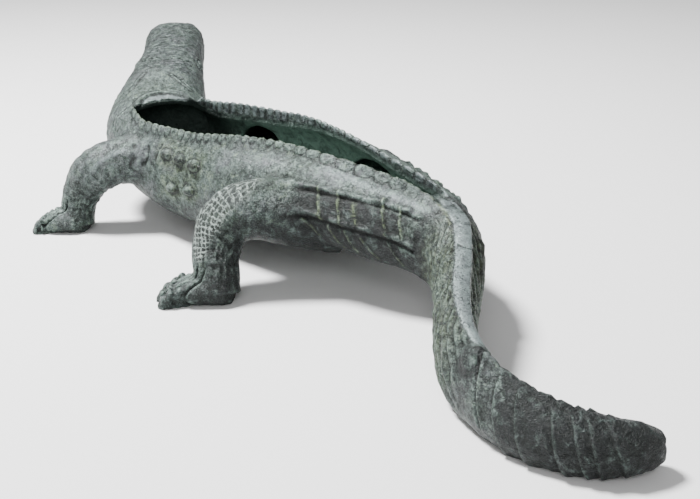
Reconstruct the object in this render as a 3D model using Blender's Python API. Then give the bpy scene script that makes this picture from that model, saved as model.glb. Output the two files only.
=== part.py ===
import math

import bmesh
import bpy
import numpy as np

# Sizes that are set by themselves, in metres
LENGTH = 1.0  # scale of the animal: pose and proportions below are shares of it
WALL = 0.005  # cast wall around the hollow body
LIP = 0.004  # extra thickness under the rim of the opening
OPENING_WIDTH = 0.128  # widest gap between the two rims
RIDGE_GAP = 0.016  # gap between the two ridges behind the opening
SCUTE_WIDTH = 0.012  # thickness of the scalloped rim, across
SCUTE_RISE = 0.008  # height of a scute over the back
CREST_WIDTH = 0.007  # thickness of the single crest on the tail
LEDGE_DEPTH = 0.0035  # step of the crescent behind the skull
MOUTH_GROOVE = 0.0022  # radius of the line between the jaws
TAIL_GROOVE = 0.0016  # depth of the rings around the tail
KEEL_RISE = 0.0030  # height of the two keels along the hip

# Counts of the repeated carving
RIM_SCUTES = 28
RIM_GROWTH = 2.0  # length of the last scute of the rim over that of the first
RIDGE_SCUTES = 7
CREST_SCUTES = 7
TAIL_RINGS = 16

# Height left at the notches between scutes, at the ends of a row and on the narrow ridges, and at
# the notches of the crest and of the keels, as shares of the full rise
SCUTE_NOTCH, SCUTE_END, RIDGE_HEIGHT = 0.30, 0.05, 0.7
CREST_HEIGHT, CREST_NOTCH, KEEL_NOTCH = 0.75, 0.25, 0.6

# Landmarks from snout to tail end, as shares of LENGTH: x, y, top z, bottom z, half width,
# then level of the widest line, squareness of the upper half and pinch of the top
SPINE = [
    (-0.153, -0.490, 0.192, 0.160, 0.0210, 0.50, 2.4, 0.00),  # 0 snout end
    (-0.145, -0.480, 0.204, 0.150, 0.0350, 0.50, 2.6, 0.00),  # 1 nostrils
    (-0.128, -0.463, 0.206, 0.140, 0.0415, 0.50, 2.8, 0.00),  # 2 snout
    (-0.101, -0.433, 0.196, 0.126, 0.0425, 0.50, 2.8, 0.10),  # 3 before the eyes
    (-0.071, -0.401, 0.184, 0.110, 0.0465, 0.48, 2.6, 0.10),  # 4 eyes
    (-0.042, -0.373, 0.177, 0.092, 0.0550, 0.45, 2.5, 0.15),  # 5 jaw corner
    (-0.010, -0.342, 0.162, 0.070, 0.0650, 0.42, 2.4, 0.15),  # 6 back of the skull
    (0.0120, -0.306, 0.149, 0.052, 0.0730, 0.42, 2.5, 0.10),  # 7 neck
    (0.0160, -0.264, 0.1445, 0.028, 0.0780, 0.42, 2.8, 0.10),  # 8 shoulders
    (0.0110, -0.214, 0.1445, 0.016, 0.0850, 0.42, 3.0, 0.10),  # 9 front limbs
    (0.0040, -0.158, 0.146, 0.014, 0.0890, 0.42, 3.0, 0.10),  # 10 chest
    (0.0000, -0.088, 0.147, 0.026, 0.0910, 0.42, 3.0, 0.10),  # 11 middle
    (0.0020, -0.018, 0.144, 0.043, 0.0880, 0.42, 2.8, 0.10),  # 12 belly
    (0.0060, 0.0520, 0.138, 0.048, 0.0795, 0.42, 2.6, 0.10),  # 13 hind limbs
    (0.0080, 0.1100, 0.130, 0.043, 0.0660, 0.44, 2.5, 0.10),  # 14 hips
    (0.0115, 0.1615, 0.123, 0.040, 0.0470, 0.45, 2.5, 0.20),  # 15 tail root
    (0.0270, 0.2040, 0.114, 0.031, 0.0315, 0.45, 2.5, 0.30),  # 16 tail turns left
    (0.0670, 0.2430, 0.101, 0.019, 0.0220, 0.45, 2.5, 0.35),  # 17
    (0.1180, 0.2830, 0.087, 0.009, 0.0188, 0.45, 2.5, 0.40),  # 18 outer side of the bend
    (0.1535, 0.3215, 0.075, 0.002, 0.0190, 0.45, 2.5, 0.40),  # 19 tail comes down
    (0.1730, 0.3650, 0.064, -0.001, 0.0198, 0.45, 2.5, 0.40),  # 20 tail on the ground
    (0.1805, 0.4075, 0.057, -0.001, 0.0205, 0.45, 2.5, 0.40),  # 21 tail curls back
    (0.1740, 0.4455, 0.052, -0.001, 0.0215, 0.45, 2.4, 0.30),  # 22
    (0.1575, 0.4735, 0.047, 0.001, 0.0215, 0.48, 2.3, 0.20),  # 23 blunt end
    (0.1370, 0.4910, 0.041, 0.003, 0.0175, 0.50, 2.2, 0.10),  # 24
    (0.1240, 0.5000, 0.033, 0.008, 0.0100, 0.50, 2.2, 0.00),  # 25 tail tip
]
STEP = 0.05  # distance between landmarks over which a direction is taken
SNOUT, EYES, JAW_CORNER, NECK = 0, 4.3, 5.0, 7
OPEN_FRONT, OPEN_BACK, MERGE, CREST_END, TAIL_TIP = 7.4, 15, 19.9, 23.2, 25
HOLLOW_FRONT, HOLLOW_BACK = 6.4, 15.4
KEEL_FRONT, KEEL_BACK = 12, 16
LOWER_POWER = 2.5  # squareness of the lower half of a section

# Corners of the body's sections, in degrees from the top, and those that carry the two keels
CORNERS = (0, 24, 48, 64, 80, 100, 120, 140, 160)
KEEL_CORNERS = (48, 80)

# Spread of the two ridges at landmarks 7 to 14, as shares of the opening, then 15 to 20 of the gap
OPENING_SPREAD = (0.60, 0.88, 0.97, 1.00, 0.88, 0.66, 0.44, 0.25)
RIDGE_SPREAD = (1.25, 1.00, 1.00, 1.00, 0.85, 0.30)

# Left limbs, root to ankle, as shares of LENGTH: x, y, z, radius
FRONT_LIMB = [
    (0.030, -0.228, 0.084, 0.036),
    (0.065, -0.252, 0.086, 0.033),
    (0.099, -0.279, 0.085, 0.029),
    (0.124, -0.297, 0.072, 0.0280),
    (0.136, -0.307, 0.051, 0.0240),
    (0.1435, -0.3105, 0.030, 0.0210),
    (0.1480, -0.3090, 0.008, 0.0215),
]
HIND_LIMB = [
    (0.030, 0.050, 0.074, 0.038),
    (0.070, 0.018, 0.082, 0.037),
    (0.105, -0.010, 0.088, 0.033),
    (0.132, -0.024, 0.079, 0.0300),
    (0.148, -0.023, 0.057, 0.0265),
    (0.158, -0.015, 0.034, 0.0245),
    (0.163, -0.008, 0.008, 0.0250),
]
LIMB_HOLLOW_END = 3.2  # how far down its landmarks a limb is hollow
# Stride of each limb, as shares of LENGTH: how far back it stands, and how far its knee is let down
STRIDE = {
    ("left", "front"): (0.0, 0.0),
    ("left", "hind"): (0.0, 0.0),
    ("right", "front"): (0.050, 0.0),
    ("right", "hind"): (-0.025, 0.012),
}

# Left feet, as shares of LENGTH: heel, pointing angle from +X in degrees, length to the toe roots
FRONT_FOOT = {"heel": (0.141, -0.297), "angle": -56, "sole": 0.043, "toes": 5, "toe": 0.029}
HIND_FOOT = {"heel": (0.1525, 0.006), "angle": -51, "sole": 0.054, "toes": 4, "toe": 0.034}
SOLE = [  # along the sole, half width, height
    (0.00, 0.013, 0.016),
    (0.20, 0.022, 0.026),
    (0.55, 0.0255, 0.031),
    (0.90, 0.0270, 0.0255),
    (1.15, 0.0220, 0.0190),
]
TOE = [  # along the toe, half width, height
    (0.00, 0.0085, 0.0230),
    (0.35, 0.0078, 0.0190),
    (0.62, 0.0088, 0.0180),
    (0.85, 0.0062, 0.0120),
    (1.00, 0.0020, 0.0055),
]
TOE_SPREAD = 46  # degrees between the outer toes
TOE_ROW = 0.033  # width of the row of toe roots, as a share of LENGTH
TOE_ROOT = 0.83  # place of the toe roots along the sole
TOE_OVERLAP = 0.07  # share of the sole's length that every toe is longer by
SOLE_SINK, TOE_SINK = 0.0015, 0.0023  # how far they are drawn below the ground before they are cut flat

# Knobs on the skin: landmark, angle from the top of the section, and their radii along the body,
# around it and outwards, as shares of LENGTH
KNOBS = {
    "knob_1": (9.65, 62, (0.0068, 0.0068, 0.0065)),
    "knob_2": (10.15, 64, (0.0068, 0.0068, 0.0065)),
    "knob_3": (9.45, 88, (0.0062, 0.0062, 0.0060)),
    "knob_4": (10.05, 86, (0.0062, 0.0062, 0.0060)),
    "eye": (EYES, 40, (0.013, 0.010, 0.010)),
    "nostril": (0.9, 20, (0.007, 0.005, 0.005)),
}
KNOB_SINK = 0.35  # share of a knob's radius that lies below the skin

MOUTH_ANGLE = 97  # degrees from the top of the section to the line between the jaws
LEDGE = (0.036, 0.017)  # half width and reach of the crescent behind the skull, as shares of LENGTH
GROUND_DEPTH = 0.05  # depth of the block that cuts the soles flat, as a share of LENGTH


def through(rows, at):
    # smooth curve through the rows, read at the positions in at
    rows = np.asarray(rows, float)
    at = np.atleast_1d(np.asarray(at, float))
    first = np.clip(at.astype(int), 0, len(rows) - 2)
    f = at - first
    if rows.ndim == 2:
        f = f[:, None]
    padded = np.concatenate([[2 * rows[0] - rows[1]], rows, [2 * rows[-1] - rows[-2]]])
    a, b, c, d = (padded[first + k] for k in range(4))
    return 0.5 * (2 * b + (c - a) * f + (2 * a - 5 * b + 4 * c - d) * f**2 + (3 * b - a - 3 * c + d) * f**3)


def spine_at(at):
    # sizes in metres at the landmarks in at, with the direction to the animal's left
    rows = through(SPINE, at)
    rows[:, :5] *= LENGTH
    ahead = through(SPINE, np.minimum(np.asarray(at) + STEP, TAIL_TIP))
    behind = through(SPINE, np.maximum(np.asarray(at) - STEP, SNOUT))
    along = ahead[:, :2] - behind[:, :2]
    along /= np.linalg.norm(along, axis=1)[:, None]
    return rows, along, np.stack([along[:, 1], -along[:, 0]], 1)


def section(row, angles, inset=0.0, roof=0.0):
    # offset to the left and height of the outline of one section, angles from its top
    x, y, top, bottom, half, level, power, pinch = row
    middle = bottom + (top - bottom) * level
    up, out = np.cos(angles), np.sin(angles)
    power = np.where(up >= 0, power, LOWER_POWER)
    rise = np.sign(up) * np.abs(up) ** (2 / power)
    offset = (half - inset) * np.sign(out) * np.abs(out) ** (2 / power)
    offset *= np.where(rise > 0, 1 - pinch * rise**2, 1)
    above = top - inset - roof - middle
    below = middle - bottom - inset
    return offset, middle + np.where(rise > 0, rise * above, rise * below)


def back_height(row, offset):
    # height of the animal's back at an offset from the spine
    sides, heights = section(row, np.linspace(math.pi / 2, 0, 60))
    return np.interp(-abs(offset), -sides, heights)


def place(row, left, offset, height):
    # points of one section in the model's frame
    offset, height = np.broadcast_arrays(offset, height)
    return np.stack([row[0] + left[0] * offset, row[1] + left[1] * offset, height], -1)


def spread_at(at):
    # distance of a ridge from the spine
    shares = [share * OPENING_WIDTH / 2 for share in OPENING_SPREAD]
    shares += [share * RIDGE_GAP / 2 for share in RIDGE_SPREAD]
    return through(shares, np.asarray(at) - NECK)


def along_spine(start, end, count, growth=1.0):
    # landmark positions that step evenly along the spine, growing by a ratio from start to end
    fine = np.linspace(start, end, 400)
    places = spine_at(fine)[0][:, :3]
    lengths = np.concatenate([[0], np.cumsum(np.linalg.norm(np.diff(places, axis=0), axis=1))])
    share = np.linspace(0, 1, count)
    bend = (growth - 1) / (growth + 1)
    share = (1 - bend) * share + bend * share**2
    return np.interp(share * lengths[-1], lengths, fine)


def loft(name, rings, collection):
    # closed mesh through rings of equal point count, with flat ends
    mesh = bmesh.new()
    loops = [[mesh.verts.new(point) for point in ring] for ring in rings]
    for one, two in zip(loops, loops[1:]):
        for k in range(len(one)):
            j = (k + 1) % len(one)
            mesh.faces.new((one[k], one[j], two[j], two[k]))
    mesh.faces.new(loops[0])
    mesh.faces.new(loops[-1])
    bmesh.ops.recalc_face_normals(mesh, faces=mesh.faces)
    return finish(name, mesh, collection)


def finish(name, mesh, collection):
    # object of a mesh, a plain helper where it only joins or cuts
    data = bpy.data.meshes.new(name)
    mesh.to_mesh(data)
    mesh.free()
    made = bpy.data.objects.new(name, data)
    collection.objects.link(made)
    if collection is not statue:
        made.hide_render = True
        made.display_type = "WIRE"
    return made


def new_collection(name):
    made = bpy.data.collections.new(name)
    bpy.context.scene.collection.children.link(made)
    return made


def body_positions():
    # close steps at the head, then one at each rib of the hip and two for each ring of the tail
    head = [0, 0.4, 1, 1.8, 2.7, 3.5, 4.3, 5, 5.7, 6.4, 7]
    trunk = list(np.arange(7.57, OPEN_BACK - 0.5, 0.55))
    tail = along_spine(OPEN_BACK - 0.2, TAIL_TIP - 0.5, 2 * TAIL_RINGS + 1)
    return head, trunk, list(tail) + [TAIL_TIP]


def make_body():
    # head, trunk and tail in one loft, with rings on the tail and two keels along each hip
    head, trunk, tail = body_positions()
    at = np.array(head + trunk + tail)
    rows, along, left = spine_at(at)
    corners = np.array(CORNERS + (180,) + tuple(360 - angle for angle in CORNERS[:0:-1]))
    angles = np.radians(corners)
    keel = np.isin(np.minimum(corners, 360 - corners), KEEL_CORNERS)
    rings = []
    for k, row in enumerate(rows):
        offset, height = section(row, angles)
        rise = np.zeros(len(angles))
        if KEEL_FRONT < at[k] < KEEL_BACK:
            lump = 1 if k % 2 else KEEL_NOTCH
            rise += keel * KEEL_RISE * lump * math.sin(math.pi * (at[k] - KEEL_FRONT) / (KEEL_BACK - KEEL_FRONT))
        ring_index = k - len(head) - len(trunk)
        if 0 < ring_index < len(tail) - 2 and ring_index % 2 == 0:
            rise -= TAIL_GROOVE
        middle = row[3] + (row[2] - row[3]) * row[5]
        reach = np.hypot(offset, height - middle)
        scale = 1 + rise / reach
        rings.append(place(row, left[k], offset * scale, middle + (height - middle) * scale))
    return loft("alligator", rings, statue)


def scute_strip(name, positions, side, collection, width, spread):
    # ridge along the back whose height falls to a notch at every third position
    rows, along, left = spine_at(positions)
    rings = []
    for k, row in enumerate(rows):
        inner = spread[k]
        lobe = SCUTE_NOTCH if k % 3 == 0 else 1
        if k in (0, len(rows) - 1):
            lobe = SCUTE_END
        if positions[k] > OPEN_BACK:
            lobe *= RIDGE_HEIGHT
        top = back_height(row, inner) + SCUTE_RISE * lobe
        outer = inner + width[k]
        foot = back_height(row, outer)
        deep = back_height(row, inner) - SCUTE_RISE
        offsets = np.array([inner - WALL / 2, inner - WALL / 2, inner + 0.5 * width[k], outer])
        heights = np.array([deep, top, top, foot - 0.9 * WALL])
        rings.append(place(row, left[k], side * offsets, heights))
    return loft(name, rings, collection)


def rim_positions():
    # three steps to each scute of the rim, which grow longer towards the tail
    return along_spine(OPEN_FRONT - 0.12, OPEN_BACK + 0.1, 3 * RIM_SCUTES + 1, RIM_GROWTH)


def make_ridges():
    # scalloped rims of the opening, running on as two ridges over the tail root
    rim = rim_positions()
    ridge = along_spine(OPEN_BACK + 0.1, MERGE, 3 * RIDGE_SCUTES + 1)
    positions = np.concatenate([rim, ridge[1:]])
    width = SCUTE_WIDTH * np.interp(positions, [OPEN_FRONT, 12, 16, MERGE], [0.85, 1.0, 0.6, 0.5])
    for side, name in ((1, "left_ridge"), (-1, "right_ridge")):
        scute_strip(name, positions, side, growths, width, spread_at(positions))


def make_crest():
    # single row of scutes down the middle of the tail
    positions = along_spine(MERGE - 0.35, CREST_END, 3 * CREST_SCUTES + 1)
    rows, along, left = spine_at(positions)
    rings = []
    for k, row in enumerate(rows):
        fade = np.interp(positions[k], [MERGE, 22, CREST_END], [1, 0.8, 0.1])
        lobe = fade * (CREST_NOTCH if k % 3 == 0 else 1)
        top = row[2] + CREST_HEIGHT * SCUTE_RISE * lobe
        half = CREST_WIDTH / 2
        offsets = np.array([-half, -half * 0.55, half * 0.55, half])
        base = row[2] - SCUTE_RISE
        rings.append(place(row, left[k], offsets, np.array([base, top, top, base])))
    loft("crest", rings, growths)


def strode(rows, stride):
    # limb moved along the body by its stride, with its bent middle let down
    back, drop = stride
    knee = len(rows) // 2
    return [(x, y + back, z - drop * max(0, 1 - abs(k - knee + 1) / 3), r) for k, (x, y, z, r) in enumerate(rows)]


def limb_rings(rows, side, at, inset=0.0, around=10):
    # round sections along a limb
    points = through(rows, at) * LENGTH
    ahead = through(rows, np.minimum(np.asarray(at) + STEP, len(rows) - 1))
    behind = through(rows, np.maximum(np.asarray(at) - STEP, 0))
    rings = []
    for point, along in zip(points, (ahead - behind)[:, :3]):
        along = along / np.linalg.norm(along)
        first = np.array([0, 1, 0]) - along * along[1]
        first /= np.linalg.norm(first)
        second = np.cross(along, first)
        turn = np.linspace(0, 2 * math.pi, around, endpoint=False)[:, None]
        radius = point[3] - inset
        ring = point[:3] + radius * (np.cos(turn) * first + np.sin(turn) * second)
        rings.append(ring * (side, 1, 1))
    return rings


def flat_section(centre, across, half, height, sink, around):
    # low arch over the ground, as a foot or toe is cut across
    turn = np.linspace(0, 2 * math.pi, around, endpoint=False)
    middle = 0.4 * height
    rise = np.cos(turn)
    z = middle + np.where(rise > 0, rise * (height - middle), rise * (middle + sink))
    sides = half * np.sign(np.sin(turn)) * np.abs(np.sin(turn)) ** 0.8
    return np.stack([centre[0] + across[0] * sides, centre[1] + across[1] * sides, z], -1)


def make_foot(name, foot, side, back):
    # sole with toes fanned out at its front
    heading = math.radians(foot["angle"])
    along = np.array([math.cos(heading), math.sin(heading)])
    across = np.array([-along[1], along[0]])
    heel = (np.array(foot["heel"]) + (0, back)) * LENGTH
    mirror = (side, 1, 1)
    rings = []
    for share, half, height in SOLE:
        centre = heel + along * share * foot["sole"] * LENGTH
        rings.append(flat_section(centre, across, half * LENGTH, height * LENGTH, SOLE_SINK, 8) * mirror)
    loft(name, rings, growths)
    for k in range(foot["toes"]):
        fan = k / (foot["toes"] - 1) - 0.5
        turn = heading + math.radians(TOE_SPREAD) * fan
        ahead = np.array([math.cos(turn), math.sin(turn)])
        beside = np.array([-ahead[1], ahead[0]])
        root = heel + along * foot["sole"] * LENGTH * TOE_ROOT + across * fan * TOE_ROW * LENGTH
        reach = (foot["toe"] + TOE_OVERLAP * foot["sole"]) * LENGTH * (1 - 0.5 * fan**2)
        rings = []
        for share, half, height in TOE:
            centre = root + ahead * share * reach
            rings.append(flat_section(centre, beside, half * LENGTH, height * LENGTH, TOE_SINK, 6) * mirror)
        loft(f"{name}_toe_{k + 1}", rings, growths)


def make_limbs():
    for side, hand in ((1, "left"), (-1, "right")):
        for place_name, rows, foot in (("front", FRONT_LIMB, FRONT_FOOT), ("hind", HIND_LIMB, HIND_FOOT)):
            stride = STRIDE[hand, place_name]
            rows = strode(rows, stride)
            at = np.linspace(0, len(rows) - 1, 10)
            loft(f"{hand}_{place_name}_limb", limb_rings(rows, side, at), growths)
            make_foot(f"{hand}_{place_name}_foot", foot, side, stride[0])
            at = np.linspace(0.1, LIMB_HOLLOW_END, 6)
            loft(f"{hand}_{place_name}_hollow", limb_rings(rows, side, at, WALL, 9), hollows)


def add_knob(name, at, angle, radii):
    # low rounded knob on the skin: radii along the spine, around the body and outwards
    radii = np.array(radii) * LENGTH
    rows, along, left = spine_at([at])
    turn = np.radians([angle])
    offset, height = section(rows[0], turn)
    middle = rows[0][3] + (rows[0][2] - rows[0][3]) * rows[0][5]
    out = place(rows[0], left[0], offset, height)[0]
    normal = out - place(rows[0], left[0], np.zeros(1), np.array([middle]))[0]
    normal /= np.linalg.norm(normal)
    ahead = np.array([along[0][0], along[0][1], 0])
    around = np.cross(normal, ahead)
    mesh = bmesh.new()
    bmesh.ops.create_icosphere(mesh, subdivisions=2, radius=1)
    for vert in mesh.verts:
        x, y, z = vert.co
        vert.co = out + ahead * x * radii[0] + around * y * radii[1] + normal * (z - KNOB_SINK) * radii[2]
    bmesh.ops.recalc_face_normals(mesh, faces=mesh.faces)
    finish(name, mesh, growths)


def make_knobs():
    for side, hand in ((1, "left"), (-1, "right")):
        for name, (at, angle, radii) in KNOBS.items():
            add_knob(f"{hand}_{name}", at, side * angle, radii)


def make_mouth():
    # line between the jaws, from one corner round the snout to the other
    sides = np.concatenate([np.linspace(JAW_CORNER, 0.3, 8), [SNOUT]])
    rows, along, left = spine_at(sides)
    path = []
    level = np.radians(MOUTH_ANGLE)
    for side in (1, -1):
        points = [place(row, lean, *section(row, np.array([side * level])))[0] for row, lean in zip(rows, left)]
        path = path + (points if side > 0 else points[::-1])
    path = np.array(path)
    path[0] -= (path[1] - path[0]) * 0.2
    rings = []
    for k, point in enumerate(path):
        ahead = path[min(k + 1, len(path) - 1)] - path[max(k - 1, 0)]
        ahead /= np.linalg.norm(ahead)
        flat = np.cross(ahead, (0, 0, 1))
        flat /= np.linalg.norm(flat)
        up = np.cross(flat, ahead)
        turn = np.linspace(0, 2 * math.pi, 5, endpoint=False)[:, None]
        rings.append(point + MOUTH_GROOVE * (np.cos(turn) * flat + np.sin(turn) * up))
    loft("mouth_line", rings, hollows)


def make_hollow():
    # inside of the body, the opening over it and the crescent step behind the skull
    at = np.linspace(HOLLOW_FRONT, HOLLOW_BACK, 14)
    rows, along, left = spine_at(at)
    angles = np.linspace(0, 2 * math.pi, 13, endpoint=False)
    rings = []
    for k, row in enumerate(rows):
        rings.append(place(row, left[k], *section(row, angles, inset=WALL, roof=LIP)))
    loft("inside", rings, hollows)
    at = np.linspace(OPEN_FRONT, OPEN_BACK, 14)
    rows, along, left = spine_at(at)
    gaps = spread_at(at)
    rings = []
    for k, row in enumerate(rows):
        middle = row[3] + (row[2] - row[3]) * row[5]
        offsets = gaps[k] * np.array([-1, -1, 1, 1])
        above = row[2] + 4 * SCUTE_RISE
        rings.append(place(row, left[k], offsets, np.array([middle, above, above, middle])))
    loft("opening", rings, hollows)


def make_ledge():
    # flat crescent at the front of the opening, a step below the skull
    rows, along, left = spine_at([OPEN_FRONT])
    row = rows[0]
    turn = np.linspace(0, 2 * math.pi, 20, endpoint=False)
    across = LEDGE[0] * LENGTH * np.sin(turn)
    ahead = LEDGE[1] * LENGTH * np.cos(turn)
    x = row[0] + left[0][0] * across + along[0][0] * ahead
    y = row[1] + left[0][1] * across + along[0][1] * ahead
    floor = row[2] - LEDGE_DEPTH
    above = row[2] + 4 * SCUTE_RISE
    loft("ledge", [np.stack([x, y, np.full(len(x), z)], -1) for z in (floor, above)], hollows)


def make_ground():
    # everything below the ground goes, so that feet and tail stand flat
    mesh = bmesh.new()
    bmesh.ops.create_cube(mesh, size=1)
    depth = GROUND_DEPTH * LENGTH
    for vert in mesh.verts:
        vert.co = vert.co.x * 2 * LENGTH, vert.co.y * 2 * LENGTH, (vert.co.z - 0.5) * depth
    finish("ground", mesh, hollows)


def verdigris():
    made = bpy.data.materials.new("verdigris_aluminium")
    made.use_nodes = True
    shader = made.node_tree.nodes["Principled BSDF"]
    shader.inputs["Base Color"].default_value = (0.17, 0.21, 0.19, 1)
    shader.inputs["Metallic"].default_value = 0.35
    shader.inputs["Roughness"].default_value = 0.62
    return made


for old in list(bpy.data.objects):
    bpy.data.objects.remove(old)
statue = new_collection("alligator_planter")
growths = new_collection("growths")
hollows = new_collection("hollows")

casting = make_body()
casting.data.materials.append(verdigris())
make_ridges()
make_crest()
make_limbs()
make_knobs()
make_hollow()
make_mouth()
make_ledge()
make_ground()

join = casting.modifiers.new("join", "BOOLEAN")
join.operation = "UNION"
join.operand_type = "COLLECTION"
join.collection = growths
cut = casting.modifiers.new("cut", "BOOLEAN")
cut.operation = "DIFFERENCE"
cut.operand_type = "COLLECTION"
cut.collection = hollows
casting.data.shade_smooth()
casting.data.set_sharp_from_angle(angle=math.radians(40))
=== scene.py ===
import math

import bmesh
import bpy
import numpy as np
from mathutils import Matrix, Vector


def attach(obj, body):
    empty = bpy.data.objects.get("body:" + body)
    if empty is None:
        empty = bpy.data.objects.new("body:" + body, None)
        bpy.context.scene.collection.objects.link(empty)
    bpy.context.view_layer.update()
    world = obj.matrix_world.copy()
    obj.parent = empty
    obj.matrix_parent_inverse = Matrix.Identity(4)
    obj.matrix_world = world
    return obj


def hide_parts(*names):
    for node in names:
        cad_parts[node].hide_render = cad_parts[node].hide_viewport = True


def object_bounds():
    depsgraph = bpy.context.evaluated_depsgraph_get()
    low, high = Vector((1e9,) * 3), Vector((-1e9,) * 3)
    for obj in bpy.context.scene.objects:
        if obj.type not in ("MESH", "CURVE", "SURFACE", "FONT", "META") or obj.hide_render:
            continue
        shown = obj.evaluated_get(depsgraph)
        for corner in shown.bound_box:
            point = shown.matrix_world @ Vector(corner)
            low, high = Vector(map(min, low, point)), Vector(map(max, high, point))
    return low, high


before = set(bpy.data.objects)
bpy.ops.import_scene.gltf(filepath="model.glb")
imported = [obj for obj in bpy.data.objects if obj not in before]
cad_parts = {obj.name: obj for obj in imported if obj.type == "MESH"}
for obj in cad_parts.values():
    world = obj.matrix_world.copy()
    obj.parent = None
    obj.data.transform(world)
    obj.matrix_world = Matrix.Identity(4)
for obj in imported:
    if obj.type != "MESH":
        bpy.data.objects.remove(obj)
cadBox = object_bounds()

# the animal's body: landmarks from snout to tail end in metres, as x, y, top z, bottom z, half width,
# then level of the widest line, squareness of the upper half and pinch of the top
body = {
    "landmarks": [
        (-0.153, -0.490, 0.192, 0.160, 0.0210, 0.50, 2.4, 0.00),  # 0 snout end
        (-0.145, -0.480, 0.204, 0.150, 0.0350, 0.50, 2.6, 0.00),  # 1 nostrils
        (-0.128, -0.463, 0.206, 0.140, 0.0415, 0.50, 2.8, 0.00),  # 2 snout
        (-0.101, -0.433, 0.196, 0.126, 0.0425, 0.50, 2.8, 0.10),  # 3 before the eyes
        (-0.071, -0.401, 0.184, 0.110, 0.0465, 0.48, 2.6, 0.10),  # 4 eyes
        (-0.042, -0.373, 0.177, 0.092, 0.0550, 0.45, 2.5, 0.15),  # 5 jaw corner
        (-0.010, -0.342, 0.162, 0.070, 0.0650, 0.42, 2.4, 0.15),  # 6 back of the skull
        (0.0120, -0.306, 0.149, 0.052, 0.0730, 0.42, 2.5, 0.10),  # 7 neck
        (0.0160, -0.264, 0.1445, 0.028, 0.0780, 0.42, 2.8, 0.10),  # 8 shoulders
        (0.0110, -0.214, 0.1445, 0.016, 0.0850, 0.42, 3.0, 0.10),  # 9 front limbs
        (0.0040, -0.158, 0.146, 0.014, 0.0890, 0.42, 3.0, 0.10),  # 10 chest
        (0.0000, -0.088, 0.147, 0.026, 0.0910, 0.42, 3.0, 0.10),  # 11 middle
        (0.0020, -0.018, 0.144, 0.043, 0.0880, 0.42, 2.8, 0.10),  # 12 belly
        (0.0060, 0.0520, 0.138, 0.048, 0.0795, 0.42, 2.6, 0.10),  # 13 hind limbs
        (0.0080, 0.1100, 0.130, 0.043, 0.0660, 0.44, 2.5, 0.10),  # 14 hips
        (0.0115, 0.1615, 0.123, 0.040, 0.0470, 0.45, 2.5, 0.20),  # 15 tail root
        (0.0270, 0.2040, 0.114, 0.031, 0.0315, 0.45, 2.5, 0.30),  # 16 tail turns left
        (0.0670, 0.2430, 0.101, 0.019, 0.0220, 0.45, 2.5, 0.35),  # 17
        (0.1180, 0.2830, 0.087, 0.009, 0.0188, 0.45, 2.5, 0.40),  # 18 outer side of the bend
        (0.1535, 0.3215, 0.075, 0.002, 0.0190, 0.45, 2.5, 0.40),  # 19 tail comes down
        (0.1730, 0.3650, 0.064, -0.001, 0.0198, 0.45, 2.5, 0.40),  # 20 tail on the ground
        (0.1805, 0.4075, 0.057, -0.001, 0.0205, 0.45, 2.5, 0.40),  # 21 tail curls back
        (0.1740, 0.4455, 0.052, -0.001, 0.0215, 0.45, 2.4, 0.30),  # 22
        (0.1575, 0.4735, 0.047, 0.001, 0.0215, 0.48, 2.3, 0.20),  # 23 blunt end
        (0.1370, 0.4910, 0.041, 0.003, 0.0175, 0.50, 2.2, 0.10),  # 24
        (0.1240, 0.5000, 0.033, 0.008, 0.0100, 0.50, 2.2, 0.00),  # 25 tail tip
    ],
    "lowerSquareness": 2.5,
    "tip": 25,
    "wall": 0.005,
    "lip": 0.004,
    "hollow": (6.4, 15.4),
}

# the open back: half width at landmarks 7 to 14, then half the gap between the ridges at 15 to 20
opening = {
    "front": 7.4,
    "back": 15,
    "merge": 19.9,
    "spread": [0.0384, 0.0563, 0.0621, 0.0640, 0.0563, 0.0422, 0.0282, 0.0160,
               0.0100, 0.0080, 0.0080, 0.0080, 0.0068, 0.0024],
    "pitchAt": (7.4, 11.6, 12.6, 13.3, 14.2, 15.5, 19.9),
    "pitch": (0.0115, 0.0125, 0.0190, 0.0260, 0.0190, 0.0220, 0.0240),  # length of a scute
    "rise": 0.008,
    "width": 0.0115,
    "notch": {1: (0.66, 0.62, 0.58, 0.7), -1: (0.50, 0.45, 0.45, 0.6)},  # height left between two scutes
    "corner": {1: 7.17, -1: 7.45},  # where the opening begins on either side
    "sagAt": (7.4, 8.2, 9.0, 9.8, 10.6, 11.4, 12.2, 13.0, 13.8, 15.0),
    "sag": (0, 0.0050, 0.0062, 0.0052, 0.0018, -0.0034, -0.0050, -0.0042, -0.0020, 0),  # of the right rim
    "plateAt": (7.4, 11.6, 13.3, 16),
    "plate": (0.0055, 0.0065, 0.0110, 0.0090),  # height of the plates under the scutes
}

crest = {"first": 19.82, "pitch": 0.48, "end": 23.4, "rise": 0.0062, "halfWidth": 0.0034, "notch": 0.25}

ledge = {"centre": 7.36, "halfWidth": 0.032, "reach": 0.021, "depth": 0.0016}

# smooth band on top of the tail: its two edges as distances from the spine
strip = {
    "at": (15.2, 15.6, 16.2, 17, 18, 19, 19.75),
    "left": (0.000, 0.010, 0.0065, 0.005, 0.004, 0.0020, 0.0015),
    "right": (-0.004, -0.012, -0.0135, -0.0125, -0.0130, -0.0105, -0.0085),
}

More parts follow.
